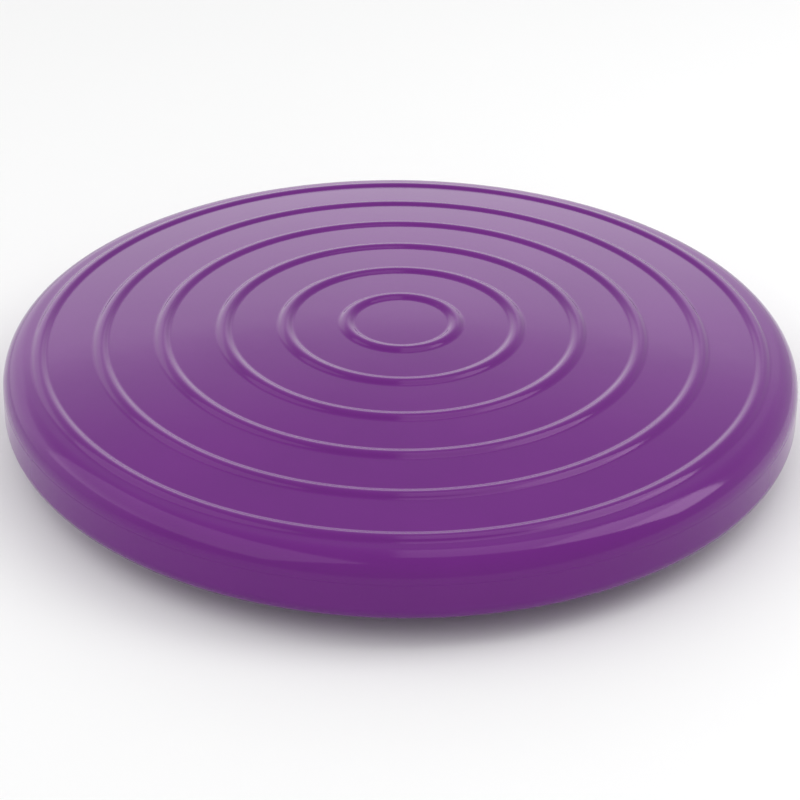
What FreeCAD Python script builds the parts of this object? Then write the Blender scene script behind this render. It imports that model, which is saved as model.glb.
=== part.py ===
import FreeCAD
import Part
import math
import os
import Sketcher

# Inflatable balance disc: a low round air cushion to stand or sit on.
# Two soft PVC mouldings, welded together at the foot of the shoulder, hold the air.
# The upper face carries raised rings and the lower face carries small round nubs.
# A needle valve with a pull-out plug sits in a recess in the back of the rim.
#
# Frame: millimetres, +Z up, origin on the floor below the middle of the disc.
# The valve's axis points along +Y.

# Driving dimensions: alias, value in millimetres (or a plain count), meaning.
DIMENSIONS = [
    ("disc_radius", 200.0, "outside radius at the rim wall"),
    ("disc_height", 60.6, "floor to the middle of the upper face"),
    ("skin_thickness", 3.5, "wall of both mouldings"),
    ("weld_height", 34.4, "floor to the weld line at the foot of the shoulder"),
    ("wall_foot_height", 21.2, "floor to the lower end of the straight rim wall"),
    ("shoulder_radius", 13.0, "outside radius of the shoulder above the weld"),
    ("heel_radius", 8.5, "outside radius of the lower edge of the rim"),
    ("lap_height", 4.0, "height of the tongue inside the weld"),
    ("lap_thickness", 1.65, "thickness of the tongue inside the weld"),
    ("lap_gap", 0.1, "glue line between the tongue and the upper moulding"),
    ("ring_count", 6, "raised rings on the upper face"),
    ("first_ring_radius", 27.6, "radius of the innermost ring's crest"),
    ("ring_pitch", 30.8, "distance from one ring's crest to the next"),
    ("ring_width", 6.4, "width of a ring where it leaves the face"),
    ("ring_rise", 1.4, "height of a ring above the face"),
    ("ring_root", 1.0, "depth that a ring's foot goes into the skin"),
    ("patch_depth", 1.7, "height of the cap that the flat middle cuts off the lower face"),
    ("nub_height", 2.0, "height of a nub below the lower face"),
    ("nub_foot_radius", 4.2, "radius of a nub where it leaves the face"),
    ("nub_tip_radius", 2.6, "radius of a nub's flat tip"),
    ("nub_root", 2.0, "depth that a nub's foot goes into the skin"),
    ("nub_ring_count", 8, "rings of nubs round the middle nub"),
    ("nub_ring_pitch", 22.0, "distance from one ring of nubs to the next"),
    ("nub_turn", 30.0, "degrees from +X to the line that every ring has a nub on"),
    ("nubs_per_step", 6, "nubs that each ring has more than the one inside it"),
    ("valve_height", 26.0, "floor to the axis of the valve"),
    ("boss_radius", 8.0, "radius of the thick pad behind the valve"),
    ("boss_inner", 188.0, "disc axis to the inner face of the pad"),
    ("recess_radius", 7.2, "radius of the valve's recess in the rim"),
    ("recess_floor", 197.0, "disc axis to the floor of the recess"),
    ("cut_overrun", 5.0, "length that a cut runs past the surface it goes through"),
    ("flange_radius", 5.9, "radius of the valve body's flange"),
    ("flange_thickness", 1.1, "thickness of the valve body's flange"),
    ("barrel_radius", 4.2, "radius of the valve body's barrel"),
    ("barb_radius", 5.2, "radius of the barb that holds behind the pad"),
    ("barb_length", 1.4, "length of the barb's straight part"),
    ("barrel_tip_radius", 3.9, "radius of the valve body's inner end"),
    ("barrel_end", 182.4, "disc axis to the valve body's inner end"),
    ("seat_radius", 2.9, "radius of the bore that holds the rubber core"),
    ("seat_outer", 192.6, "disc axis to the step that the core rests against"),
    ("mouth_radius", 2.35, "radius of the mouth that takes the plug"),
    ("core_length", 9.0, "length of the rubber core"),
    ("funnel_radius", 1.3, "radius of the core's lead-in at its outer face"),
    ("funnel_depth", 1.6, "depth of the core's lead-in"),
    ("pilot_radius", 0.35, "radius of the needle's pilot hole in the core"),
    ("pilot_depth", 5.5, "depth of the needle's pilot hole in the core"),
    ("stem_clearance", 0.05, "radial clearance of the plug's stem in the mouth"),
    ("stem_length", 5.0, "length of the plug's stem"),
    ("stem_chamfer", 0.5, "chamfer on the end of the plug's stem"),
    ("head_radius", 4.6, "radius of the plug's head"),
    ("head_thickness", 1.7, "thickness of the plug's head"),
    ("head_chamfer", 0.45, "chamfer round the plug's outer face"),
    ("groove_radius", 3.8, "radius inside the fingernail groove under the head"),
    ("groove_width", 0.6, "width of the fingernail groove"),
]

ORIGIN_POINT = (-1, 1)
VERTICAL_AXIS = -2
START = 1
END = 2
CENTRE = FreeCAD.Vector(0, 0, 0)
UP = FreeCAD.Vector(0, 0, 1)

# The lower moulding's section stands this many degrees round from +X, between the nubs,
# because a nub that lies across the line where a turned face closes doesn't join it soundly.
SECTION_TURN = 26.0

# Turns a piece's own Z axis to the disc's +Y axis, along the valve.
ALONG_VALVE = FreeCAD.Placement(CENTRE, FreeCAD.Rotation(FreeCAD.Vector(1, 0, 0), -90))


class Size:
    """A length that keeps its value together with its formula in the document."""

    def __init__(self, value, formula):
        self.value = value
        self.formula = formula

    def __add__(self, other):
        return Size(self.value + other.value, f"({self.formula} + {other.formula})")

    def __sub__(self, other):
        return Size(self.value - other.value, f"({self.formula} - {other.formula})")

    def __mul__(self, other):
        return Size(self.value * other.value, f"({self.formula} * {other.formula})")

    def __truediv__(self, other):
        return Size(self.value / other.value, f"({self.formula} / {other.formula})")


def plain(number):
    """A bare number as a Size."""
    return Size(number, str(number))


def root(size):
    """The square root of a Size."""
    return Size(math.sqrt(size.value), f"sqrt({size.formula})")


ZERO = plain(0)
TWO = plain(2)


class Dimensions:
    """The spreadsheet of driving dimensions, and the sizes worked out from them."""

    def __init__(self, doc):
        sheet = doc.addObject("Spreadsheet::Sheet", "Dims")
        for row, (alias, value, meaning) in enumerate(DIMENSIONS, start=1):
            sheet.set(f"A{row}", meaning)
            sheet.set(f"B{row}", str(value))
            sheet.setAlias(f"B{row}", alias)
            setattr(self, alias, Size(value, f"Dims.{alias}"))
        doc.recompute()
        self.derived = doc.addObject("App::VarSet", "Derived")

    def keep(self, name, size):
        """Store a worked-out size in the document and remember it under its name."""
        self.derived.addProperty("App::PropertyFloat", name)
        self.derived.setExpression(name, size.formula)
        setattr(self, name, Size(size.value, f"Derived.{name}"))


def add_crown(dims, name, rise, edge_radius):
    """Work out the arc of a domed face that runs smoothly into the rim's edge arc.

    `rise` is the height from the edge arc's centre to the middle of the face.
    The arc's radius, and the sine and cosine of the angle where it meets the edge arc, are kept.
    """
    span = dims.disc_radius - edge_radius
    doubled = TWO * (rise - edge_radius)
    dims.keep(f"{name}_radius", (span * span + rise * rise - edge_radius * edge_radius) / doubled)
    radius = getattr(dims, f"{name}_radius")
    dims.keep(f"{name}_sine", span / (radius - edge_radius))
    dims.keep(f"{name}_cosine", (radius - rise) / (radius - edge_radius))


def top_level(dims, radius):
    """Height of the upper face at a distance from the disc's axis."""
    drop = dims.top_radius - root(dims.top_radius * dims.top_radius - radius * radius)
    return dims.disc_height - drop


def origin_part(body, role):
    """One of a body's own origin planes or axes."""
    for feature in body.Origin.OriginFeatures:
        if feature.Role == role:
            return feature
    raise ValueError(role)


def add_edge(sketch, first, last, radius, turn):
    """Add a line, or an arc of up to half a turn, and return it with its two ends' numbers.

    `turn` is +1 where the arc runs anticlockwise from first to last, and -1 where clockwise.
    """
    here = FreeCAD.Vector(first[0].value, first[1].value, 0)
    there = FreeCAD.Vector(last[0].value, last[1].value, 0)
    if radius is None:
        return sketch.addGeometry(Part.LineSegment(here, there)), START, END
    half = (there - here) * 0.5
    left = UP.cross(half).normalize()
    reach = math.sqrt(radius.value ** 2 - half.Length ** 2)
    centre = here + half + left * (reach * turn)
    begin, finish = (here, there) if turn > 0 else (there, here)
    angles = [math.atan2(point.y - centre.y, point.x - centre.x) for point in (begin, finish)]
    circle = Part.Circle(centre, UP, radius.value)
    edge = sketch.addGeometry(Part.ArcOfCircle(circle, angles[0], angles[1]))
    return (edge, START, END) if turn > 0 else (edge, END, START)


def bind(sketch, constraint, size, name):
    """Add a dimension to a sketch and tie it to its formula."""
    index = sketch.addConstraint(constraint)
    sketch.renameConstraint(index, name)
    sketch.setExpression(f"Constraints.{name}", size.formula)


def half_section(body, name, outline, degrees):
    """Sketch a closed outline on the body's XZ plane, turned `degrees` about Z.

    `outline` lists (x, z) for each corner, with (radius, turn) added where an arc leaves it.
    """
    sketch = body.newObject("Sketcher::SketchObject", name)
    sketch.AttachmentSupport = [(origin_part(body, "XZ_Plane"), "")]
    sketch.MapMode = "FlatFace"
    sketch.AttachmentOffset = FreeCAD.Placement(CENTRE, FreeCAD.Rotation(FreeCAD.Vector(0, 1, 0), degrees))
    corners = [step[:2] for step in outline]
    edges = []
    for place, step in enumerate(outline):
        following = corners[(place + 1) % len(corners)]
        radius, turn = step[2:] if len(step) > 2 else (None, 0)
        edges.append(add_edge(sketch, corners[place], following, radius, turn))
        if radius is not None:
            arc = Sketcher.Constraint("Radius", edges[-1][0], radius.value)
            bind(sketch, arc, radius, f"radius{place}")
    for place, (edge, begin, _finish) in enumerate(edges):
        previous, _begin, finish = edges[place - 1]
        sketch.addConstraint(Sketcher.Constraint("Coincident", previous, finish, edge, begin))
        across, along = corners[place]
        if across is ZERO:
            sketch.addConstraint(Sketcher.Constraint("PointOnObject", edge, begin, VERTICAL_AXIS))
        else:
            datum = Sketcher.Constraint("DistanceX", *ORIGIN_POINT, edge, begin, across.value)
            bind(sketch, datum, across, f"across{place}")
        datum = Sketcher.Constraint("DistanceY", *ORIGIN_POINT, edge, begin, along.value)
        bind(sketch, datum, along, f"along{place}")
    return sketch


def revolve(body, name, outline, degrees=0):
    """Turn a half section all the way round the body's own Z axis."""
    sketch = half_section(body, f"{name}_section", outline, degrees)
    feature = body.newObject("PartDesign::Revolution", name)
    feature.Profile = sketch
    feature.ReferenceAxis = (sketch, ["V_Axis"])
    feature.Angle = 360
    return feature


def new_body(doc, name):
    """A sub-part, whose label is its node name."""
    body = doc.addObject("PartDesign::Body", name)
    body.Label = name
    return body


def valve_body(doc, name, dims):
    """A sub-part of the valve: its own Z axis is the valve's, measured from the disc's axis."""
    body = new_body(doc, name)
    body.Placement = ALONG_VALVE
    body.setExpression("Placement.Base.z", dims.valve_height.formula)
    return body


def make_upper_shell(doc, dims):
    """Upper moulding: domed face, rounded shoulder and raised rings."""
    body = new_body(doc, "upper_shell")
    inner_wall = dims.disc_radius - dims.skin_thickness
    lap_top = dims.weld_height + dims.lap_height
    lap_face = inner_wall + dims.lap_thickness + dims.lap_gap
    inner_edge = dims.shoulder_radius - dims.skin_thickness
    inner_crown = dims.top_radius - dims.skin_thickness
    lap_reach = root(inner_edge * inner_edge - dims.lap_height * dims.lap_height)
    crown_centre = dims.disc_height - dims.top_radius
    revolve(body, "dome", [
        (ZERO, dims.disc_height, dims.top_radius, -1),
        (dims.top_radius * dims.top_sine, crown_centre + dims.top_radius * dims.top_cosine,
         dims.shoulder_radius, -1),
        (dims.disc_radius, dims.weld_height),
        (lap_face, dims.weld_height),
        (lap_face, lap_top),
        (dims.disc_radius - dims.shoulder_radius + lap_reach, lap_top, inner_edge, 1),
        (inner_crown * dims.top_sine, crown_centre + inner_crown * dims.top_cosine, inner_crown, 1),
        (ZERO, dims.disc_height - dims.skin_thickness),
    ])
    half_width = dims.ring_width / TWO
    crest_radius = (half_width * half_width + dims.ring_rise * dims.ring_rise) / (TWO * dims.ring_rise)
    for number in range(int(dims.ring_count.value)):
        middle = dims.first_ring_radius + dims.ring_pitch * plain(number)
        inside = middle - half_width
        outside = middle + half_width
        inside_level = top_level(dims, inside)
        outside_level = top_level(dims, outside)
        revolve(body, f"ring_{number + 1}", [
            (inside, inside_level, crest_radius, -1),
            (outside, outside_level),
            (outside, outside_level - dims.ring_root),
            (inside, inside_level - dims.ring_root),
        ])
    return body


def add_nub(body, name, dims):
    """A nub with its flat tip down. Its own Z axis runs from the tip into the skin."""
    nub = body.newObject("PartDesign::AdditiveCone", name)
    flare = (dims.nub_foot_radius - dims.nub_tip_radius) / dims.nub_height
    nub.setExpression("Radius1", dims.nub_tip_radius.formula)
    nub.setExpression("Radius2", (dims.nub_foot_radius + flare * dims.nub_root).formula)
    nub.setExpression("Height", (dims.nub_height + dims.nub_root).formula)
    return nub


def place_nub(nub, dims, radius):
    """Stand a nub square to the lower face at a distance from the disc's axis."""
    turn = math.radians(dims.nub_turn.value)
    if radius.value > dims.patch_radius.value:
        reach = dims.base_radius + dims.nub_height
        lean = f"asin({(radius / dims.base_radius).formula})"
        sideways = FreeCAD.Vector(math.sin(turn), -math.cos(turn), 0)
        nub.Placement = FreeCAD.Placement(CENTRE, FreeCAD.Rotation(sideways, math.degrees(1)))
        nub.setExpression("Placement.Rotation.Angle", lean)
        nub.setExpression("Placement.Base.z", f"{dims.base_centre.formula} - {reach.formula} * cos({lean})")
        radius = radius * reach / dims.base_radius
    for letter, part in (("x", "cos"), ("y", "sin")):
        share = f"{part}({dims.nub_turn.formula} * 1deg)"
        nub.setExpression(f"Placement.Base.{letter}", f"{radius.formula} * {share}")


def add_nubs(body, dims):
    """A middle nub with rings of nubs round it, out to the edge of the lower face."""
    add_nub(body, "nub_middle", dims)
    for number in range(1, int(dims.nub_ring_count.value) + 1):
        nub = add_nub(body, f"nub_{number}", dims)
        place_nub(nub, dims, dims.nub_ring_pitch * plain(number))
        ring = body.newObject("PartDesign::PolarPattern", f"nub_ring_{number}")
        ring.Originals = [nub]
        ring.Axis = (origin_part(body, "Z_Axis"), [""])
        ring.Angle = 360
        ring.setExpression("Occurrences", (dims.nubs_per_step * plain(number)).formula)
        body.Tip = ring


def add_valve_cylinder(body, kind, name, dims, radius, begin, finish):
    """Add or cut a cylinder along the valve's axis, between two distances from the disc's axis."""
    cylinder = body.newObject(f"PartDesign::{kind}Cylinder", name)
    cylinder.Placement = ALONG_VALVE
    cylinder.setExpression("Radius", radius.formula)
    cylinder.setExpression("Height", (finish - begin).formula)
    cylinder.setExpression("Placement.Base.y", begin.formula)
    cylinder.setExpression("Placement.Base.z", dims.valve_height.formula)
    return cylinder


def make_lower_shell(doc, dims):
    """Lower moulding: rim wall, heel, nubbed lower face, weld tongue and valve seat."""
    body = new_body(doc, "lower_shell")
    inner_wall = dims.disc_radius - dims.skin_thickness
    tongue_face = inner_wall + dims.lap_thickness
    lap_top = dims.weld_height + dims.lap_height
    inner_edge = dims.heel_radius - dims.skin_thickness
    inner_crown = dims.base_radius - dims.skin_thickness
    inner_patch = root(dims.patch_depth * (TWO * inner_crown - dims.patch_depth))
    inner_level = dims.nub_height + dims.skin_thickness
    revolve(body, "bowl", [
        (ZERO, dims.nub_height),
        (dims.patch_radius, dims.nub_height, dims.base_radius, 1),
        (dims.base_radius * dims.base_sine, dims.base_centre - dims.base_radius * dims.base_cosine,
         dims.heel_radius, 1),
        (dims.disc_radius, dims.wall_foot_height),
        (dims.disc_radius, dims.weld_height),
        (tongue_face, dims.weld_height),
        (tongue_face, lap_top),
        (inner_wall, lap_top),
        (inner_wall, dims.wall_foot_height, inner_edge, -1),
        (inner_crown * dims.base_sine, dims.base_centre - inner_crown * dims.base_cosine,
         inner_crown, -1),
        (inner_patch, inner_level),
        (ZERO, inner_level),
    ], SECTION_TURN)
    add_valve_cylinder(body, "Additive", "valve_pad", dims,
                       dims.boss_radius, dims.boss_inner, dims.recess_floor)
    add_valve_cylinder(body, "Subtractive", "valve_recess", dims,
                       dims.recess_radius, dims.recess_floor, dims.recess_floor + dims.cut_overrun)
    add_valve_cylinder(body, "Subtractive", "valve_hole", dims,
                       dims.barrel_radius, dims.boss_inner - dims.cut_overrun,
                       dims.recess_floor + dims.cut_overrun)
    add_nubs(body, dims)
    return body


def make_valve_housing(doc, dims):
    """Valve body: flange in the recess, barrel through the pad, barb behind it."""
    body = valve_body(doc, "valve_housing", dims)
    barb_end = dims.boss_inner - dims.barb_length
    revolve(body, "grommet", [
        (dims.mouth_radius, dims.flange_outer),
        (dims.flange_radius, dims.flange_outer),
        (dims.flange_radius, dims.recess_floor),
        (dims.barrel_radius, dims.recess_floor),
        (dims.barrel_radius, dims.boss_inner),
        (dims.barb_radius, dims.boss_inner),
        (dims.barb_radius, barb_end),
        (dims.barrel_tip_radius, dims.barrel_end),
        (dims.seat_radius, dims.barrel_end),
        (dims.seat_radius, dims.seat_outer),
        (dims.mouth_radius, dims.seat_outer),
    ])
    return body


def make_valve_core(doc, dims):
    """Rubber core: a needle pushes through its unpierced end, which closes after it."""
    body = valve_body(doc, "valve_core", dims)
    core_inner = dims.seat_outer - dims.core_length
    pilot_end = dims.seat_outer - dims.pilot_depth
    revolve(body, "core", [
        (ZERO, core_inner),
        (dims.seat_radius, core_inner),
        (dims.seat_radius, dims.seat_outer),
        (dims.funnel_radius, dims.seat_outer),
        (dims.pilot_radius, dims.seat_outer - dims.funnel_depth),
        (dims.pilot_radius, pilot_end),
        (ZERO, pilot_end),
    ])
    return body


def make_valve_plug(doc, dims):
    """Dust plug: a stem in the valve's mouth under a round head with a fingernail groove."""
    body = valve_body(doc, "valve_plug", dims)
    stem_radius = dims.mouth_radius - dims.stem_clearance
    stem_end = dims.flange_outer - dims.stem_length
    groove_top = dims.flange_outer + dims.groove_width
    head_face = dims.flange_outer + dims.head_thickness
    revolve(body, "plug", [
        (ZERO, stem_end),
        (stem_radius - dims.stem_chamfer, stem_end),
        (stem_radius, stem_end + dims.stem_chamfer),
        (stem_radius, dims.flange_outer),
        (dims.groove_radius, dims.flange_outer),
        (dims.groove_radius, groove_top),
        (dims.head_radius, groove_top),
        (dims.head_radius, head_face - dims.head_chamfer),
        (dims.head_radius - dims.head_chamfer, head_face),
        (ZERO, head_face),
    ])
    return body


def check_document(doc, bodies):
    """Stop if anything failed, a cut removed nothing, or a sub-part isn't one sound solid."""
    for item in doc.Objects:
        if "Invalid" in item.State or "Error" in item.State:
            raise RuntimeError(f"{item.Name} failed: {item.State}")
        if item.TypeId == "PartDesign::SubtractiveCylinder":
            if item.Shape.Volume >= item.BaseFeature.Shape.Volume:
                raise RuntimeError(f"{item.Name} cuts nothing")
    for body in bodies:
        shape = body.Shape
        if shape.isNull() or not shape.isValid() or len(shape.Solids) != 1:
            raise RuntimeError(f"{body.Label} isn't one sound solid")


def main():
    doc = FreeCAD.newDocument("balance_disc")
    dims = Dimensions(doc)
    add_crown(dims, "top", dims.disc_height - dims.weld_height, dims.shoulder_radius)
    base_rise = dims.wall_foot_height - dims.nub_height + dims.patch_depth
    add_crown(dims, "base", base_rise, dims.heel_radius)
    dims.keep("base_centre", dims.nub_height - dims.patch_depth + dims.base_radius)
    dims.keep("patch_radius", root(dims.patch_depth * (TWO * dims.base_radius - dims.patch_depth)))
    dims.keep("flange_outer", dims.recess_floor + dims.flange_thickness)
    bodies = [
        make_upper_shell(doc, dims),
        make_lower_shell(doc, dims),
        make_valve_housing(doc, dims),
        make_valve_core(doc, dims),
        make_valve_plug(doc, dims),
    ]
    doc.recompute()
    check_document(doc, bodies)
    os.makedirs("parts", exist_ok=True)
    for body in bodies:
        body.Shape.exportStep(os.path.join("parts", f"{body.Label}.step"))
        print(f"{body.Label}: {body.Shape.Volume / 1000:.2f} cm3, {len(body.Shape.Faces)} faces")


main()
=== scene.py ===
import math

import bmesh
import bpy
import numpy as np
from mathutils import Matrix, Vector


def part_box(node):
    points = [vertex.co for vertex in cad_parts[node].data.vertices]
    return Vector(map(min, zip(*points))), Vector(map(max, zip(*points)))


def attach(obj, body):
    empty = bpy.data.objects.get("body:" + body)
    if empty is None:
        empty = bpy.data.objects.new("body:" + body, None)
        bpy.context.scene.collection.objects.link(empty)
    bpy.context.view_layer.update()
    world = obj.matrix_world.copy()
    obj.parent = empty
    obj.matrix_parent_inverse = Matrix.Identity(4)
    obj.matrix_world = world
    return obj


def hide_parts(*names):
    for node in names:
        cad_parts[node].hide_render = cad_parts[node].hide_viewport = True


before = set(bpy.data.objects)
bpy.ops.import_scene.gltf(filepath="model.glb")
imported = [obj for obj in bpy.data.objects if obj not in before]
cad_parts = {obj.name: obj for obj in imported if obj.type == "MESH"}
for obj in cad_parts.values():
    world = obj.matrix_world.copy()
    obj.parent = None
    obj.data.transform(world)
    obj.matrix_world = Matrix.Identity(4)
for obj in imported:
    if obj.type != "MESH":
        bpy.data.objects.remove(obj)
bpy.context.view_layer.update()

# An inflatable balance disc. Everything is in metres, +Z up, with the origin on the floor
# below the middle of the disc and the valve in the back of the rim, along +Y.
MM = 0.001
UPPER_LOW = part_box("upper_shell")[0]
LOWER_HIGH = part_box("lower_shell")[1]
HOUSING_LOW, HOUSING_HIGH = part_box("valve_housing")
CORE_LOW, CORE_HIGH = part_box("valve_core")
PLUG_LOW, PLUG_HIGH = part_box("valve_plug")

# The disc's section.
RIM_RADIUS = LOWER_HIGH.y
WELD_LEVEL = UPPER_LOW.z
SKIN = 3.5 * MM
SHOULDER_RADIUS = 13 * MM
HEEL_RADIUS = 8.5 * MM
WALL_FOOT = WELD_LEVEL - 13.2 * MM
WELD_EDGE = 0.02 * MM
# The shoulder's arc stops this many degrees above the weld, which leaves a soft edge.
SHOULDER_END = 0.6
LAP_HEIGHT = LOWER_HIGH.z - WELD_LEVEL
LAP_THICKNESS = 1.65 * MM
LAP_GAP = 0.1 * MM

# The raised rings.
RING_COUNT = 6
FIRST_RING = 27.6 * MM
RING_PITCH = 30.8 * MM
RING_HALF_WIDTH = 3.2 * MM
RING_RISE = 1.4 * MM
RING_FOOT = 0.8 * MM
# A ring has died away this far from its crest, and its arc has this radius in section.
RING_REACH = RING_HALF_WIDTH + 3 * RING_FOOT
RING_ARC = (RING_HALF_WIDTH ** 2 + RING_RISE ** 2) / (2 * RING_RISE)
APEX_LEVEL = WELD_LEVEL + 26.2 * MM

# The nubs under the disc.
NUB_RINGS = 8
NUB_RING_PITCH = 22 * MM
NUBS_PER_STEP = 6
NUB_TURN = math.radians(30)
NUB_HEIGHT = 2 * MM
NUB_TIP = 2.6 * MM
NUB_FOOT = 4.2 * MM
NUB_EDGE = 0.5 * MM
NUB_FLARE = 0.8 * MM
NUB_SLOPE = 25
NUB_SINK = SKIN / 4
NUB_SIDES = 24
NUB_EDGE_STEPS = 4
NUB_FLARE_STEPS = 5
# The lower dome is flattened in the middle, where it would come this far below the nubs' feet.
PATCH_DEPTH = 1.7 * MM
PATCH_EDGE = 0.25 * MM

# The valve's place in the rim.
VALVE_LEVEL = (HOUSING_LOW.z + HOUSING_HIGH.z) / 2
RECESS_RADIUS = 7.2 * MM
RECESS_FLOOR = 197 * MM
RECESS_LIP = 0.7 * MM
RECESS_FILLET = 0.4 * MM
HOLE_RADIUS = 4.2 * MM
HOLE_EDGE = 0.1 * MM
PAD_RADIUS = 8 * MM
PAD_FACE = 188 * MM
PAD_FILLET = 0.6 * MM

# Where the loops of faces lie round the recess and the pad: their share of the way from the edge to the
# block's border, and the degrees that the lip and the fillet have turned.
WALL_SHARES = (0.7, 0.4, 0.15, 0.0)
PAD_SHARES = (0.0, 0.4, 0.8)
LIP_TURNS = range(18, 91, 18)
FILLET_TURNS = range(0, 91, 30)

# The valve's pieces.
BARB_RADIUS = 5.2 * MM
BARB_LENGTH = 1.4 * MM
BARREL_TIP = 3.9 * MM
MOUTH_RADIUS = 2.35 * MM
MOUTH_LAND = 0.9 * MM
DISH_WIDTH = 1.5 * MM
DISH_DEPTH = 0.35 * MM
FUNNEL_RADIUS = 1.3 * MM
FUNNEL_DEPTH = 1.6 * MM
PILOT_RADIUS = 0.35 * MM
PILOT_DEPTH = 5.5 * MM
STEM_RADIUS = 2.3 * MM
STEM_CHAMFER = 0.5 * MM
GROOVE_RADIUS = 3.8 * MM
GROOVE_WIDTH = 0.6 * MM
HEAD_BEVEL = 0.6 * MM
HEAD_DOME = 0.12 * MM
HEAD_FLAT_SHARE = 0.55
PLASTIC_EDGE = 0.25 * MM
RUBBER_EDGE = 0.15 * MM
TURNED_SIDES = 64

SHARP_ANGLE = math.radians(50)
SAME_POINT = 1e-7
ON_AXIS = 1e-6

# The meshes' steps. A square block of the rim round the valve has finer columns than the rest.
POLE_RADIUS = 1 * MM
MIDDLE_POINTS = 9
RING_POINTS = 31
GAP_POINTS = 7
BASE_POINTS = 90
SHOULDER_STEPS = 28
HEEL_STEPS = 14
INNER_SHOULDER_STEPS = 8
INNER_HEEL_STEPS = 6
INNER_FACE_POINTS = 24
TRACE_POINTS = 400
CORNER_POINTS = 5
CORNER_SHARE = 0.4
OPEN_STEPS = 330
BLOCK_HALF_WIDTH = 10 * MM
BLOCK_DROP = 5.8 * MM
INNER_BLOCK_DROP = 4.6 * MM
BLOCK_STEPS = 24


def dome_arc(rise, edge_radius):
    """Radius of a domed face's arc, and the sine of the angle where it meets the rim's edge arc."""
    span = RIM_RADIUS - edge_radius
    radius = (span ** 2 + rise ** 2 - edge_radius ** 2) / (2 * (rise - edge_radius))
    return radius, span / (radius - edge_radius)


TOP_RADIUS, TOP_SINE = dome_arc(APEX_LEVEL - WELD_LEVEL, SHOULDER_RADIUS)
TOP_CENTRE = APEX_LEVEL - TOP_RADIUS
BASE_LEVEL = NUB_HEIGHT - PATCH_DEPTH
BASE_RADIUS, BASE_SINE = dome_arc(WALL_FOOT - BASE_LEVEL, HEEL_RADIUS)
BASE_CENTRE = BASE_LEVEL + BASE_RADIUS


def arc(centre, radius, start, end, steps):
    """Points (r, z) along an arc, angles in degrees from the +r direction."""
    angles = np.radians(np.linspace(start, end, steps + 1))
    return [(centre[0] + radius * math.cos(a), centre[1] + radius * math.sin(a)) for a in angles]


def chain(*runs):
    """Join runs of points, leaving out each run's first point where it repeats the last one."""
    points = []
    for run in runs:
        for point in run:
            if not points or math.dist(point, points[-1]) > SAME_POINT:
                points.append(point)
    return points


def ring_bump(radius):
    """Height of the raised rings above the face: an arc in section, softened at its feet."""
    nearest = min(max(round((radius - FIRST_RING) / RING_PITCH), 0), RING_COUNT - 1)
    across = radius - FIRST_RING - nearest * RING_PITCH
    sunk = RING_ARC - RING_RISE
    lift = math.sqrt(max(RING_ARC ** 2 - across ** 2, 0)) - sunk
    return 0.5 * (lift + math.hypot(lift, RING_FOOT) + sunk - math.hypot(sunk, RING_FOOT))


def top_level(radius):
    """Height of the upper face, rings included."""
    return TOP_CENTRE + math.sqrt(TOP_RADIUS ** 2 - radius ** 2) + ring_bump(radius)


def base_level(radius):
    """Height of the lower face: a dome whose middle is flattened where it rests."""
    dome = BASE_CENTRE - math.sqrt(BASE_RADIUS ** 2 - radius ** 2)
    lift = dome - NUB_HEIGHT
    return NUB_HEIGHT + 0.5 * (lift + math.hypot(lift, PATCH_EDGE))


def face_radii(edge):
    """Distances from the axis at which the upper face is sampled, close together over the rings."""
    radii = list(np.linspace(POLE_RADIUS, FIRST_RING - RING_REACH, MIDDLE_POINTS)[:-1])
    for number in range(RING_COUNT):
        crest = FIRST_RING + number * RING_PITCH
        radii += list(crest + np.linspace(-1, 1, RING_POINTS) * RING_REACH)
        following = crest + RING_PITCH - RING_REACH if number < RING_COUNT - 1 else edge
        gap = np.linspace(crest + RING_REACH, following, GAP_POINTS)
        radii += list(gap[1:-1] if number < RING_COUNT - 1 else gap[1:])
    return radii


def upper_section():
    """Section of the upper moulding, from the middle of its outside round to the middle of its inside."""
    edge = TOP_RADIUS * TOP_SINE
    tangent = math.degrees(math.acos(TOP_SINE))
    outside = [(r, top_level(r)) for r in face_radii(edge)]
    shoulder_centre = (RIM_RADIUS - SHOULDER_RADIUS, WELD_LEVEL)
    shoulder = arc(shoulder_centre, SHOULDER_RADIUS, tangent, SHOULDER_END, SHOULDER_STEPS)
    lap_face = RIM_RADIUS - SKIN + LAP_THICKNESS + LAP_GAP
    inner_edge = SHOULDER_RADIUS - SKIN
    lap_angle = math.degrees(math.asin(LAP_HEIGHT / inner_edge))
    weld = [(RIM_RADIUS - WELD_EDGE, WELD_LEVEL), (lap_face, WELD_LEVEL),
            (lap_face, WELD_LEVEL + LAP_HEIGHT)]
    inner_shoulder = arc(shoulder_centre, inner_edge, lap_angle, tangent, INNER_SHOULDER_STEPS)
    inner_dome_radius = TOP_RADIUS - SKIN
    inside = [(r, TOP_CENTRE + math.sqrt(inner_dome_radius ** 2 - r ** 2))
              for r in np.linspace(inner_dome_radius * TOP_SINE, POLE_RADIUS, INNER_FACE_POINTS)]
    return chain(outside, shoulder, weld, inner_shoulder, inside)


def heel_radius_at(level, inset):
    """Distance from the axis of the rim wall or heel at a height, `inset` inside the outer face."""
    if level >= WALL_FOOT:
        return RIM_RADIUS - inset
    return RIM_RADIUS - HEEL_RADIUS + math.sqrt((HEEL_RADIUS - inset) ** 2 - (WALL_FOOT - level) ** 2)


def wall_rows(top, bottom, inset):
    """Points up the heel and the rim wall, evenly spaced, one for each row of the valve's block."""
    fine = [(heel_radius_at(z, inset), z) for z in np.linspace(bottom, top, TRACE_POINTS)]
    steps = np.array([0.0] + [math.dist(a, b) for a, b in zip(fine, fine[1:])]).cumsum()
    wanted = np.linspace(0, steps[-1], BLOCK_STEPS + 1)
    levels = np.interp(wanted, steps, [z for _r, z in fine])
    return [(heel_radius_at(z, inset), z) for z in levels]


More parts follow.
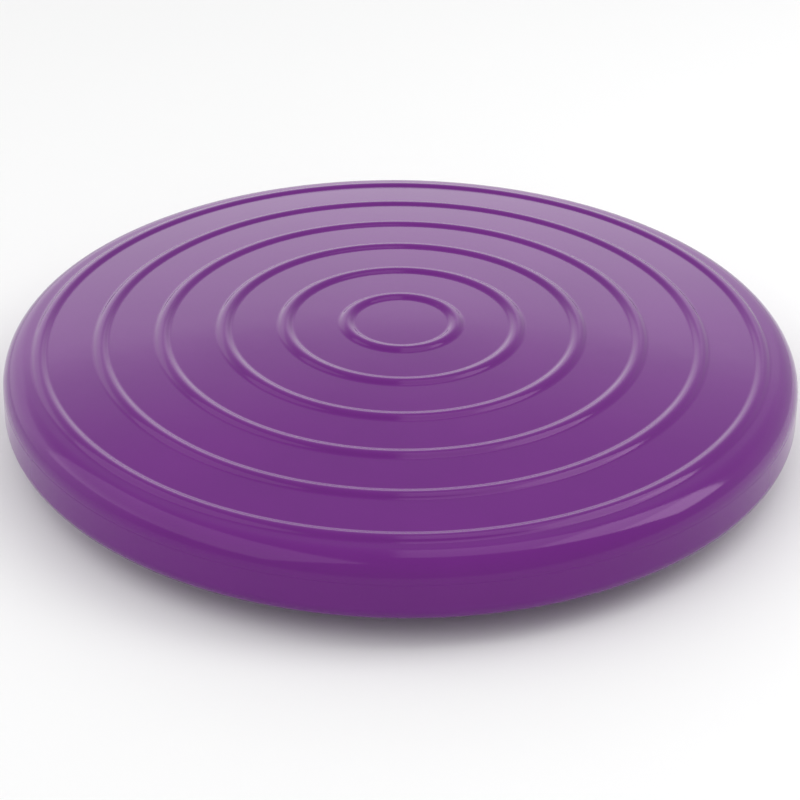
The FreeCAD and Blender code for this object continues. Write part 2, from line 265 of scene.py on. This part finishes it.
def lower_section():
    """Section of the lower moulding from the middle of its outside round to the middle of its inside.

    The rows of the valve's blocks, outside and inside, are given with it, from top to bottom.
    """
    heel_centre = (RIM_RADIUS - HEEL_RADIUS, WALL_FOOT)
    tangent = -math.degrees(math.acos(BASE_SINE))
    outer_turn = -math.degrees(math.asin(BLOCK_DROP / HEEL_RADIUS))
    inner_turn = -math.degrees(math.asin(INNER_BLOCK_DROP / (HEEL_RADIUS - SKIN)))
    face = [(r, base_level(r)) for r in np.linspace(POLE_RADIUS, BASE_RADIUS * BASE_SINE, BASE_POINTS)]
    heel = arc(heel_centre, HEEL_RADIUS, tangent, outer_turn, HEEL_STEPS)
    outer_block = wall_rows(WELD_LEVEL - WELD_EDGE, WALL_FOOT - BLOCK_DROP, 0)
    tongue = RIM_RADIUS - SKIN + LAP_THICKNESS
    tongue_top = WELD_LEVEL + LAP_HEIGHT
    lap = [(RIM_RADIUS - WELD_EDGE, WELD_LEVEL), (tongue, WELD_LEVEL), (tongue, tongue_top),
           (RIM_RADIUS - SKIN, tongue_top)]
    inner_block = wall_rows(WELD_LEVEL + WELD_EDGE, WALL_FOOT - INNER_BLOCK_DROP, SKIN)[::-1]
    inner_heel = arc(heel_centre, HEEL_RADIUS - SKIN, inner_turn, tangent, INNER_HEEL_STEPS)
    inner_base = BASE_RADIUS - SKIN
    inner_face = [(r, max(NUB_HEIGHT + SKIN, BASE_CENTRE - math.sqrt(inner_base ** 2 - r ** 2)))
                  for r in np.linspace(inner_base * BASE_SINE, POLE_RADIUS, INNER_FACE_POINTS)]
    to_block = chain(face, heel)
    to_inner_block = chain(to_block, outer_block, lap, inner_block[:1])
    points = chain(to_inner_block, inner_block, inner_heel, inner_face)
    outer_low = len(to_block) - 1
    inner_high = len(to_inner_block) - 1
    outer_rows = list(range(outer_low, outer_low + BLOCK_STEPS + 1))[::-1]
    inner_rows = list(range(inner_high, inner_high + BLOCK_STEPS + 1))
    return points, outer_rows, inner_rows


def column_angles():
    """Angles round the disc, in radians, starting with the fine columns of the valve's block."""
    half = math.asin(BLOCK_HALF_WIDTH / RIM_RADIUS)
    block = np.linspace(-half, half, BLOCK_STEPS + 1)
    rest = np.linspace(half, 2 * math.pi - half, OPEN_STEPS + 1)[1:-1]
    return math.pi / 2 + np.concatenate([block, rest])


def sway(points):
    """Slight unevenness of the blown-up face, for an array of points.

    Long and short waves, with amplitudes in millimetres, that die out towards the shoulder.
    """
    x, y = points[..., 0], points[..., 1]
    turn = np.arctan2(y, x)
    out = np.hypot(x, y) / RIM_RADIUS
    slow = 0.10 * np.cos(2 * turn + 0.7) * out ** 2 + 0.07 * np.cos(3 * turn + 2.1) * out ** 3
    quick = 0.02 * np.cos(7 * turn + 5.3 * out) * out ** 2 + 0.02 * np.sin(61 * x + 0.4) * np.cos(53 * y)
    fade = np.clip((0.95 - out) / 0.25, 0, 1)
    return (slow + quick) * fade ** 2 * (3 - 2 * fade) * MM


def lathe(section, angles):
    """Turn a section round the axis: an array of points by column and row."""
    radii = np.array([point[0] for point in section])
    levels = np.array([point[1] for point in section])
    grid = np.empty((len(angles), len(section), 3))
    grid[:, :, 0] = np.cos(angles)[:, None] * radii
    grid[:, :, 1] = np.sin(angles)[:, None] * radii
    grid[:, :, 2] = levels
    return grid


class Builder:
    """Collects points and faces for one mesh."""

    def __init__(self):
        self.points = []
        self.faces = []

    def add(self, points):
        """Add points and return their numbers."""
        first = len(self.points)
        self.points += [tuple(point) for point in points]
        return list(range(first, len(self.points)))

    def bridge(self, here, there):
        """Join two closed rings of as many points with quads."""
        for n in range(len(here)):
            self.faces.append((here[n - 1], here[n], there[n], there[n - 1]))

    def cap(self, ring, centre):
        """Close a ring of points with a fan."""
        middle = self.add([centre])[0]
        for n in range(len(ring)):
            self.faces.append((ring[n - 1], ring[n], middle))

    def lathed(self, grid, holes=()):
        """Add a lathed grid, open at the rows that `holes` lists over the valve's columns."""
        columns, rows = grid.shape[:2]
        numbers = np.array(self.add(grid.reshape(-1, 3))).reshape(columns, rows)
        for column in range(columns):
            following = (column + 1) % columns
            for row in range(rows - 1):
                if column < BLOCK_STEPS and any(row in hole and row + 1 in hole for hole in holes):
                    continue
                self.faces.append((numbers[column, row], numbers[following, row],
                                   numbers[following, row + 1], numbers[column, row + 1]))
        return numbers

    def object(self, name):
        """Make the mesh, with its faces pointing outwards and shaded smooth."""
        mesh = bpy.data.meshes.new(name)
        mesh.from_pydata(self.points, [], self.faces)
        work = bmesh.new()
        work.from_mesh(mesh)
        bmesh.ops.recalc_face_normals(work, faces=work.faces)
        work.to_mesh(mesh)
        work.free()
        mesh.shade_smooth()
        mesh.set_sharp_from_angle(angle=SHARP_ANGLE)
        made = bpy.data.objects.new(name, mesh)
        bpy.context.scene.collection.objects.link(made)
        return made


def make_upper_skin():
    """The ribbed upper half of the cushion."""
    builder = Builder()
    grid = lathe(upper_section(), column_angles())
    grid[:, :, 2] += sway(grid)
    numbers = builder.lathed(grid)
    builder.cap(numbers[:, 0], (0, 0, top_level(0)))
    builder.cap(numbers[:, -1], (0, 0, APEX_LEVEL - SKIN))
    return builder.object("upper_skin")


def block_border(numbers, rows):
    """Numbers of the points round the valve's block, as one loop; its rows run from top to bottom."""
    top = [numbers[column, rows[0]] for column in range(BLOCK_STEPS)]
    far_side = [numbers[BLOCK_STEPS, row] for row in rows[:-1]]
    bottom = [numbers[column, rows[-1]] for column in range(BLOCK_STEPS, 0, -1)]
    near_side = [numbers[0, row] for row in rows[:0:-1]]
    return top + far_side + bottom + near_side


def add_valve_recess(builder, outer, inner):
    """Loops of faces from the outer block's border, through the recess and the pad, to the inner one's."""

    def from_valve(border):
        places = np.array([builder.points[number] for number in border])
        return np.stack([places[:, 0], places[:, 2] - VALVE_LEVEL], axis=1)

    outer_border = from_valve(outer)
    inner_border = from_valve(inner)
    directions = outer_border / np.linalg.norm(outer_border, axis=1)[:, None]

    def on_wall(offsets, inset, depth=0.0):
        reach = np.array([heel_radius_at(VALVE_LEVEL + up, inset) for up in offsets[:, 1]])
        y = np.sqrt(reach ** 2 - offsets[:, 0] ** 2) - depth
        return builder.add(np.stack([offsets[:, 0], y, VALVE_LEVEL + offsets[:, 1]], axis=1))

    def flat(radius, y):
        return builder.add([(across * radius, y, VALVE_LEVEL + up * radius) for across, up in directions])

    lip_radius = RECESS_RADIUS + RECESS_LIP
    pad_foot = PAD_RADIUS + PAD_FILLET
    loops = [outer]
    for share in WALL_SHARES:
        loops.append(on_wall(outer_border * share + directions * lip_radius * (1 - share), 0))
    for turn in np.radians(LIP_TURNS):
        radius = lip_radius - RECESS_LIP * math.sin(turn)
        loops.append(on_wall(directions * radius, 0, RECESS_LIP * (1 - math.cos(turn))))
    for turn in np.radians(FILLET_TURNS):
        loops.append(flat(RECESS_RADIUS - RECESS_FILLET * (1 - math.cos(turn)),
                          RECESS_FLOOR + RECESS_FILLET * (1 - math.sin(turn))))
    loops += [
        flat(HOLE_RADIUS + HOLE_EDGE, RECESS_FLOOR),
        flat(HOLE_RADIUS, RECESS_FLOOR - HOLE_EDGE),
        flat(HOLE_RADIUS, PAD_FACE + HOLE_EDGE),
        flat(HOLE_RADIUS + HOLE_EDGE, PAD_FACE),
        flat(PAD_RADIUS - PAD_FILLET, PAD_FACE),
        flat(PAD_RADIUS, PAD_FACE + PAD_FILLET),
        on_wall(directions * PAD_RADIUS, SKIN, PAD_FILLET),
    ]
    for share in PAD_SHARES:
        loops.append(on_wall(inner_border * share + directions * pad_foot * (1 - share), SKIN))
    loops.append(inner)
    for here, there in zip(loops, loops[1:]):
        builder.bridge(here, there)


def nub_profile():
    """Section of a nub: a round-edged tip, a cone, and a foot that flares into the skin."""
    tip = arc((NUB_TIP - NUB_EDGE, NUB_HEIGHT - NUB_EDGE), NUB_EDGE, 90, NUB_SLOPE, NUB_EDGE_STEPS)
    flare = arc((NUB_FOOT, NUB_FLARE), NUB_FLARE, 180 + NUB_SLOPE, 270, NUB_FLARE_STEPS)
    sunk = [(NUB_FOOT + NUB_FLARE, -0.1 * NUB_FLARE), (NUB_FOOT + NUB_FLARE, -NUB_SINK)]
    return chain([(NUB_TIP / 2, NUB_HEIGHT)], tip, flare, sunk)


def add_nub(builder, foot, outward):
    """A moulded nub standing on the point `foot` of the skin."""
    spin = Vector((0, 0, 1)).rotation_difference(outward).to_matrix()
    turns = [2 * math.pi * n / NUB_SIDES for n in range(NUB_SIDES)]
    loops = []
    for radius, height in nub_profile():
        local = [Vector((radius * math.cos(a), radius * math.sin(a), height)) for a in turns]
        loops.append(builder.add([foot + spin @ point for point in local]))
    for here, there in zip(loops, loops[1:]):
        builder.bridge(here, there)
    builder.cap(loops[0], foot + spin @ Vector((0, 0, NUB_HEIGHT)))
    builder.cap(loops[-1], foot + spin @ Vector((0, 0, -NUB_SINK)))


def nub_places():
    """Foot and direction of every nub: one in the middle and rings of them round it."""
    yield Vector((0, 0, NUB_HEIGHT)), Vector((0, 0, -1))
    for number in range(1, NUB_RINGS + 1):
        radius = number * NUB_RING_PITCH
        rests = BASE_CENTRE - math.sqrt(BASE_RADIUS ** 2 - radius ** 2) < NUB_HEIGHT
        lean = 0.0 if rests else math.asin(radius / BASE_RADIUS)
        count = NUBS_PER_STEP * number
        for step in range(count):
            turn = NUB_TURN + 2 * math.pi * step / count
            sideways = Vector((math.cos(turn), math.sin(turn), 0))
            foot = sideways * radius + Vector((0, 0, base_level(radius)))
            yield foot, sideways * math.sin(lean) - Vector((0, 0, math.cos(lean)))


def make_lower_skin():
    """The plain rim and the nubbed underside of the cushion, with the valve's recess."""
    builder = Builder()
    section, outer_rows, inner_rows = lower_section()
    numbers = builder.lathed(lathe(section, column_angles()), holes=(outer_rows, inner_rows))
    builder.cap(numbers[:, 0], (0, 0, base_level(0)))
    builder.cap(numbers[:, -1], (0, 0, NUB_HEIGHT + SKIN))
    add_valve_recess(builder, block_border(numbers, outer_rows), block_border(numbers, inner_rows))
    for foot, outward in nub_places():
        add_nub(builder, foot, outward)
    return builder.object("lower_skin")


def softened(outline, radius, closed=True):
    """Round the corners of an outline of (radius, y) points, each as far as its sides allow."""
    soft = []
    for n, corner in enumerate(outline):
        here = Vector(corner)
        before = Vector(outline[n - 1]) - here
        after = Vector(outline[(n + 1) % len(outline)]) - here
        on_axis = here.x < ON_AXIS
        if on_axis or (not closed and n in (0, len(outline) - 1)):
            soft.append(here)
            continue
        reach = min(radius, CORNER_SHARE * before.length, CORNER_SHARE * after.length)
        start = here + before.normalized() * reach
        end = here + after.normalized() * reach
        for share in np.linspace(0, 1, CORNER_POINTS):
            soft.append(start.lerp(here, share).lerp(here.lerp(end, share), share))
    return soft


def make_turned(name, outline, edge, closed):
    """A small piece turned round the valve's axis, closed round a bore or closed on the axis."""
    builder = Builder()
    turns = [2 * math.pi * n / TURNED_SIDES for n in range(TURNED_SIDES)]
    loops = []
    tips = []
    for point in softened(outline, edge, closed):
        if point.x < ON_AXIS:
            tips.append((0, point.y, VALVE_LEVEL))
            continue
        loops.append(builder.add([(point.x * math.cos(a), point.y, VALVE_LEVEL + point.x * math.sin(a))
                                  for a in turns]))
    for here, there in zip(loops, loops[1:]):
        builder.bridge(here, there)
    if closed:
        builder.bridge(loops[-1], loops[0])
    else:
        builder.cap(loops[0], tips[0])
        builder.cap(loops[-1], tips[-1])
    return builder.object(name)


def make_valve_body():
    """Valve body: a flange in the recess, a barrel through the pad and a barb behind it."""
    end = HOUSING_LOW.y
    face = HOUSING_HIGH.y
    flange = HOUSING_HIGH.z - VALVE_LEVEL
    seat = CORE_HIGH.z - VALVE_LEVEL
    outline = [
        (MOUTH_RADIUS, face - DISH_DEPTH),
        (MOUTH_RADIUS + MOUTH_LAND, face - DISH_DEPTH),
        (MOUTH_RADIUS + DISH_WIDTH, face),
        (flange, face),
        (flange, RECESS_FLOOR),
        (HOLE_RADIUS, RECESS_FLOOR),
        (HOLE_RADIUS, PAD_FACE),
        (BARB_RADIUS, PAD_FACE),
        (BARB_RADIUS, PAD_FACE - BARB_LENGTH),
        (BARREL_TIP, end),
        (seat, end),
        (seat, CORE_HIGH.y),
        (MOUTH_RADIUS, CORE_HIGH.y),
    ]
    return make_turned("valve_body", outline, PLASTIC_EDGE, closed=True)


def make_needle_seal():
    """Rubber core with a lead-in and a pilot hole for a pump's needle."""
    face = CORE_HIGH.y
    outline = [
        (0, CORE_LOW.y),
        (CORE_HIGH.z - VALVE_LEVEL, CORE_LOW.y),
        (CORE_HIGH.z - VALVE_LEVEL, face),
        (FUNNEL_RADIUS, face),
        (PILOT_RADIUS, face - FUNNEL_DEPTH),
        (PILOT_RADIUS, face - PILOT_DEPTH),
        (0, face - PILOT_DEPTH),
    ]
    return make_turned("needle_seal", outline, RUBBER_EDGE, closed=False)


def make_dust_plug():
    """Dust plug: a stem under a round head with a fingernail groove and a slightly domed face."""
    head = PLUG_HIGH.z - VALVE_LEVEL
    face = PLUG_HIGH.y
    rest = HOUSING_HIGH.y
    stem_end = PLUG_LOW.y
    outline = [
        (0, stem_end),
        (STEM_RADIUS - STEM_CHAMFER, stem_end),
        (STEM_RADIUS, stem_end + STEM_CHAMFER),
        (STEM_RADIUS, rest),
        (GROOVE_RADIUS, rest),
        (GROOVE_RADIUS, rest + GROOVE_WIDTH),
        (head, rest + GROOVE_WIDTH),
        (head, face - HEAD_BEVEL),
        (head - HEAD_BEVEL, face - HEAD_DOME),
        (HEAD_FLAT_SHARE * head, face),
        (0, face),
    ]
    return make_turned("dust_plug", outline, PLASTIC_EDGE, closed=False)


class Shader:
    """A material's node tree, with short ways to add nodes and join them."""

    def __init__(self, owner):
        owner.use_nodes = True
        self.tree = owner.node_tree
        self.tree.nodes.clear()

    def node(self, kind, inputs=(), **settings):
        """Add a node, set its own settings, and set or join its inputs by name."""
        made = self.tree.nodes.new(kind)
        for name, value in settings.items():
            setattr(made, name, value)
        for name, value in dict(inputs).items():
            socket = made.inputs[name]
            if isinstance(value, bpy.types.NodeSocket):
                self.tree.links.new(value, socket)
            else:
                socket.default_value = value
        return made

    def noise(self, spot, scale, detail=2.0, roughness=0.5, distortion=0.0):
        """A noise texture's value at `scale` cycles to the metre."""
        texture = self.node("ShaderNodeTexNoise", {"Vector": spot, "Scale": scale, "Detail": detail,
                                                   "Roughness": roughness, "Distortion": distortion})
        return texture.outputs["Fac"]

    def spread(self, value, low, high, start=0.0, end=1.0):
        """Map a value from one range to another."""
        return self.node("ShaderNodeMapRange", {"Value": value, "From Min": start, "From Max": end,
                                                "To Min": low, "To Max": high}).outputs["Result"]

    def mix(self, share, first, second):
        """Mix two colours."""
        made = self.node("ShaderNodeMix", data_type="RGBA")
        for socket, value in ((made.inputs[0], share), (made.inputs[6], first), (made.inputs[7], second)):
            if isinstance(value, bpy.types.NodeSocket):
                self.tree.links.new(value, socket)
            else:
                socket.default_value = value
        return made.outputs[2]

    def bump(self, height, strength, distance, under=None):
        """Bump from a height value."""
        inputs = {"Height": height, "Strength": strength, "Distance": distance}
        if under is not None:
            inputs["Normal"] = under
        return self.node("ShaderNodeBump", inputs).outputs["Normal"]


PURPLE_DEEP = (0.112, 0.003, 0.166, 1)
PURPLE_PALE = (0.124, 0.004, 0.180, 1)
PURPLE_SHEEN = (1.0, 0.70, 1.0, 1)
DARK_DEEP = (0.09, 0.008, 0.14, 1)
DARK_PALE = (0.10, 0.01, 0.15, 1)
BLACK_DEEP = (0.016, 0.016, 0.017, 1)
BLACK_PALE = (0.024, 0.024, 0.025, 1)
RIPPLE_DEPTH = 0.2 * MM


def moulded_material(name, deep, pale, gloss, grain, grain_depth, sheen=(1, 1, 1, 1)):
    """Moulded soft plastic: slightly uneven colour, gloss and surface, with tinted reflections.

    The grain is in cycles to the metre and its depth in metres; the gloss is a range of roughness.
    """
    material = bpy.data.materials.new(name)
    shader = Shader(material)
    spot = shader.node("ShaderNodeTexCoord").outputs["Object"]
    cloudy = shader.noise(spot, 14, detail=4, roughness=0.55)
    speckle = shader.noise(spot, 900, detail=1)
    colour = shader.mix(shader.spread(cloudy, 0, 1, 0.3, 0.7), deep, pale)
    scuffs = shader.noise(spot, 60, detail=6, roughness=0.7, distortion=0.6)
    rough = shader.node("ShaderNodeMath", {0: shader.spread(scuffs, gloss[0], gloss[1], 0.35, 0.75),
                                           1: shader.spread(speckle, -0.015, 0.015)}, operation="ADD")
    ripple = shader.bump(shader.noise(spot, 35, detail=2), 0.25, RIPPLE_DEPTH)
    skin = shader.bump(shader.noise(spot, grain, detail=3, roughness=0.6), 0.35, grain_depth, ripple)
    surface = shader.node("ShaderNodeBsdfPrincipled", {
        "Base Color": colour, "Roughness": rough.outputs[0], "Normal": skin,
        "IOR": 1.5, "Specular Tint": sheen})
    shader.node("ShaderNodeOutputMaterial", {"Surface": surface.outputs["BSDF"]})
    return material


def dress(piece, material):
    """Give a piece one material."""
    piece.data.materials.clear()
    piece.data.materials.append(material)


def place(piece, body, node, material):
    """Dress a piece, attach it to the body it rides on, and hide the CAD node it stands for."""
    dress(piece, material)
    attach(piece, body)
    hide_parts(node)


pvc = moulded_material("soft_pvc", PURPLE_DEEP, PURPLE_PALE, gloss=(0.09, 0.14),
                       grain=1400, grain_depth=0.02 * MM, sheen=PURPLE_SHEEN)
dark_plastic = moulded_material("valve_plastic", DARK_DEEP, DARK_PALE, gloss=(0.30, 0.42),
                                grain=3000, grain_depth=0.01 * MM)
rubber = moulded_material("valve_rubber", BLACK_DEEP, BLACK_PALE, gloss=(0.55, 0.75),
                          grain=2500, grain_depth=0.02 * MM)
upper_skin = make_upper_skin()
lower_skin = make_lower_skin()
place(upper_skin, "cushion", "upper_shell", pvc)
place(lower_skin, "cushion", "lower_shell", pvc)
place(make_valve_body(), "cushion", "valve_housing", dark_plastic)
place(make_needle_seal(), "cushion", "valve_core", rubber)
place(make_dust_plug(), "plug", "valve_plug", dark_plastic)


# The studio: a pale floor in an even white room, with a brighter backdrop behind the disc.
FLOOR_REACH = 6.0
FLOOR_DEEP = (0.86, 0.86, 0.86, 1)
FLOOR_PALE = (0.88, 0.88, 0.88, 1)
ROOM_LIGHT = 0.75
BACKDROP_LIGHT = 1.62
BACKDROP_START = -0.45
BACKDROP_FULL = 0.1
# Brightness of the backdrop as a share of its full light, by the sine of the angle above the floor,
# and by the sine of the angle from straight back, + towards the right.
BACKDROP_EDGE = ((0.0, 0.8), (0.20, 1.0), (0.465, 1.0), (0.485, 0.5), (0.54, 0.3), (0.62, 0.0))
BACKDROP_WIDTH = ((-0.98, 0.35), (-0.80, 0.9), (-0.50, 0.85), (-0.32, 1.1), (-0.16, 1.15),
                  (-0.10, 1.03), (0.17, 1.0), (0.38, 0.3), (0.60, 0.12))
PANEL_WIDTH = 0.66
PANEL_BACK = 0.03
# The camera's distance from the middle of the upper face, in metres, and its angles in degrees.
CAMERA_DISTANCE = 1.5068
CAMERA_ELEVATION = 28.53
CAMERA_AIM_BELOW = 1.497
CAMERA_PAN = 0.008
CAMERA_ROLL = 0.72
CAMERA_LENS = 135
CAMERA_SENSOR = 36
CAMERA_NEAR = 0.05
CAMERA_FAR = 30


def make_floor():
    """A wide pale floor."""
    mesh = bpy.data.meshes.new("floor")
    corners = [(-FLOOR_REACH, -FLOOR_REACH, 0), (FLOOR_REACH, -FLOOR_REACH, 0),
               (FLOOR_REACH, FLOOR_REACH, 0), (-FLOOR_REACH, FLOOR_REACH, 0)]
    mesh.from_pydata(corners, [], [(0, 1, 2, 3)])
    floor = bpy.data.objects.new("floor", mesh)
    bpy.context.scene.collection.objects.link(floor)
    material = bpy.data.materials.new("floor_paper")
    shader = Shader(material)
    spot = shader.node("ShaderNodeTexCoord").outputs["Object"]
    tone = shader.mix(shader.noise(spot, 3, detail=3), FLOOR_DEEP, FLOOR_PALE)
    surface = shader.node("ShaderNodeBsdfPrincipled", {
        "Base Color": tone, "Roughness": 0.9, "Specular IOR Level": 0.1})
    shader.node("ShaderNodeOutputMaterial", {"Surface": surface.outputs["BSDF"]})
    dress(floor, material)


def share_ramp(shader, value, stops):
    """A share between 0 and about 1 that changes steadily from stop to stop of a value from -1 to 1."""
    ramp = shader.node("ShaderNodeValToRGB", {"Fac": shader.spread(value, 0, 1, -1, 1)})
    marks = ramp.color_ramp.elements
    while len(marks) < len(stops):
        marks.new(0.5)
    for mark, (stop, share) in zip(marks, stops):
        mark.position = (stop + 1) / 2
        mark.color = (share, share, share, 1)
    return ramp.outputs["Color"]


def times(shader, first, second):
    """Product of two values."""
    return shader.node("ShaderNodeMath", {0: first, 1: second}, operation="MULTIPLY").outputs[0]


def make_world():
    """An even white room with a brighter backdrop behind the disc, up to a soft edge."""
    world = bpy.data.worlds.new("studio")
    bpy.context.scene.world = world
    shader = Shader(world)
    direction = shader.node("ShaderNodeTexCoord").outputs["Generated"]
    parts = shader.node("ShaderNodeSeparateXYZ", {"Vector": direction}).outputs
    behind = shader.node("ShaderNodeMapRange", {"Value": parts["Y"], "From Min": BACKDROP_START,
                                                "From Max": BACKDROP_FULL},
                         interpolation_type="SMOOTHSTEP").outputs["Result"]
    edge = share_ramp(shader, parts["Z"], BACKDROP_EDGE)
    width = share_ramp(shader, parts["X"], BACKDROP_WIDTH)
    share = times(shader, times(shader, edge, width), behind)
    strength = shader.spread(share, ROOM_LIGHT, BACKDROP_LIGHT)
    sky = shader.node("ShaderNodeBackground", {"Color": (1, 1, 1, 1), "Strength": strength})
    shader.node("ShaderNodeOutputWorld", {"Surface": sky.outputs["Background"]})


def add_area_light(name, spot, size, power):
    """A rectangular area light at a point, facing down."""
    light = bpy.data.lights.new(name, "AREA")
    light.shape = "RECTANGLE"
    light.size, light.size_y = size
    light.energy = power
    lamp = bpy.data.objects.new(name, light)
    lamp.location = spot
    bpy.context.scene.collection.objects.link(lamp)
    return lamp


def add_panel(name, start, end, level, radiance):
    """A level light panel over the disc's right side, from one distance to another towards +X."""
    length = end - start
    spot = ((start + end) / 2, PANEL_BACK, level)
    add_area_light(name, spot, (length, PANEL_WIDTH), radiance * math.pi * length * PANEL_WIDTH)


def add_softbox(name, azimuth, height, distance, size, power):
    """A rectangular area light aimed at the disc.

    The azimuth is from straight back towards the right and the height is above the floor, in degrees.
    """
    turn = math.radians(azimuth)
    lift = math.radians(height)
    level = distance * math.cos(lift)
    spot = Vector((level * math.sin(turn), level * math.cos(turn), distance * math.sin(lift)))
    lamp = add_area_light(name, spot, size, power)
    lamp.rotation_euler = (-spot).to_track_quat("-Z", "Y").to_euler()


def make_camera():
    """A long lens at the photograph's viewing angle."""
    data = bpy.data.cameras.new("camera")
    data.lens = CAMERA_LENS
    data.sensor_width = CAMERA_SENSOR
    data.clip_start = CAMERA_NEAR
    data.clip_end = CAMERA_FAR
    camera = bpy.data.objects.new("camera", data)
    bpy.context.scene.collection.objects.link(camera)
    height = math.radians(CAMERA_ELEVATION)
    apex = Vector((0, 0, APEX_LEVEL))
    camera.location = apex + CAMERA_DISTANCE * Vector((0, -math.cos(height), math.sin(height)))
    tilt = Matrix.Rotation(math.radians(90 - CAMERA_ELEVATION - CAMERA_AIM_BELOW), 4, "X")
    pan = Matrix.Rotation(math.radians(CAMERA_PAN), 4, "Z")
    roll = Matrix.Rotation(math.radians(CAMERA_ROLL), 4, "Z")
    camera.rotation_euler = (pan @ tilt @ roll).to_euler()
    bpy.context.scene.camera = camera


make_floor()
make_world()
# Three panels lie one under another, so that their streak is brightest over the farther part.
add_panel("panel_near", start=0.0, end=2.1, level=1.00, radiance=0.8)
add_panel("panel_middle", start=0.42, end=2.0, level=0.99, radiance=0.9)
add_panel("panel_far", start=0.85, end=1.9, level=0.98, radiance=1.0)
add_softbox("fill_left", azimuth=-108, height=46, distance=1.6, size=(2.4, 1.3), power=7)
make_camera()
bpy.context.scene.view_settings.view_transform = "Standard"
